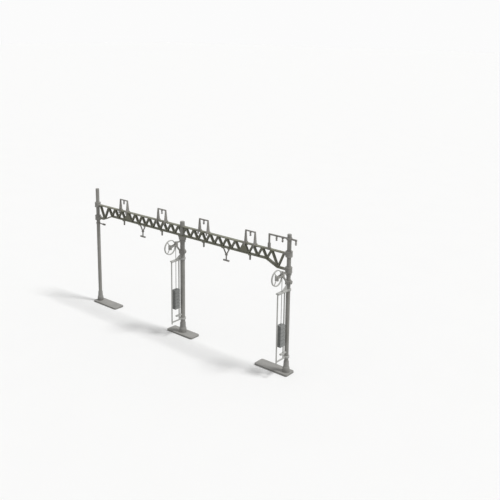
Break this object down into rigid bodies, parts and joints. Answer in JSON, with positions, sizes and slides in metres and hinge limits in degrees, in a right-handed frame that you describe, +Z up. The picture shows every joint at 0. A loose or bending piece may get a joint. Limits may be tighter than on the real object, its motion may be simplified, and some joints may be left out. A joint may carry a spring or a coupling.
{
  "type": "model railway catenary gantry, N scale",
  "caption": "Plastic model of a lattice-beam catenary gantry on posts, with wire portals, hangers and wheel tension devices.",
  "frame": {"origin": "on the ground, under the centre of the middle mast", "axes": "+X along the beam to the right mast, +Y along the tracks to the back, +Z up; the tension devices are on the -Y side"},
  "size_m": [0.1564, 0.0175, 0.0748],
  "materials": {
    "mast_grey": "matte moulded plastic",
    "base_grey": "matte moulded plastic",
    "beam_grey": "matte moulded plastic",
    "fitting_grey": "matte moulded plastic",
    "insulator_grey": "matte moulded plastic",
    "device_grey": "matte moulded plastic",
    "weight_grey": "matte moulded plastic"
  },
  "bodies": {
    "root": {"left_mast": "mast_grey", "middle_mast": "mast_grey", "right_mast": "mast_grey", "left_base": "base_grey", "middle_base": "base_grey", "right_base": "base_grey", "left_upper_collar": "mast_grey", "left_lower_collar": "mast_grey", "right_upper_collar": "mast_grey", "right_lower_collar": "mast_grey", "left_web": "beam_grey", "right_web": "beam_grey", "top_chord": "beam_grey", "bottom_chord": "beam_grey", "middle_saddle": "mast_grey", "portal_1": "fitting_grey", "portal_2": "fitting_grey", "portal_3": "fitting_grey", "portal_4": "fitting_grey", "portal_insulator_1": "insulator_grey", "portal_insulator_2": "insulator_grey", "portal_insulator_3": "insulator_grey", "portal_insulator_4": "insulator_grey", "dropper_1": "fitting_grey", "dropper_2": "fitting_grey", "dropper_3": "fitting_grey", "dropper_4": "fitting_grey", "left_hanger": "fitting_grey", "right_hanger": "fitting_grey", "left_wire_bracket": "fitting_grey", "feeder_arm": "fitting_grey", "feeder_insulators": "insulator_grey", "middle_tension_wheel": "device_grey", "right_tension_wheel": "device_grey", "middle_wheel_bracket": "mast_grey", "right_wheel_bracket": "mast_grey", "middle_guide_frame": "device_grey", "right_guide_frame": "device_grey", "middle_rope": "device_grey", "right_rope": "device_grey", "middle_weights": "weight_grey", "right_weights": "weight_grey"}
  },
  "joints": []
}
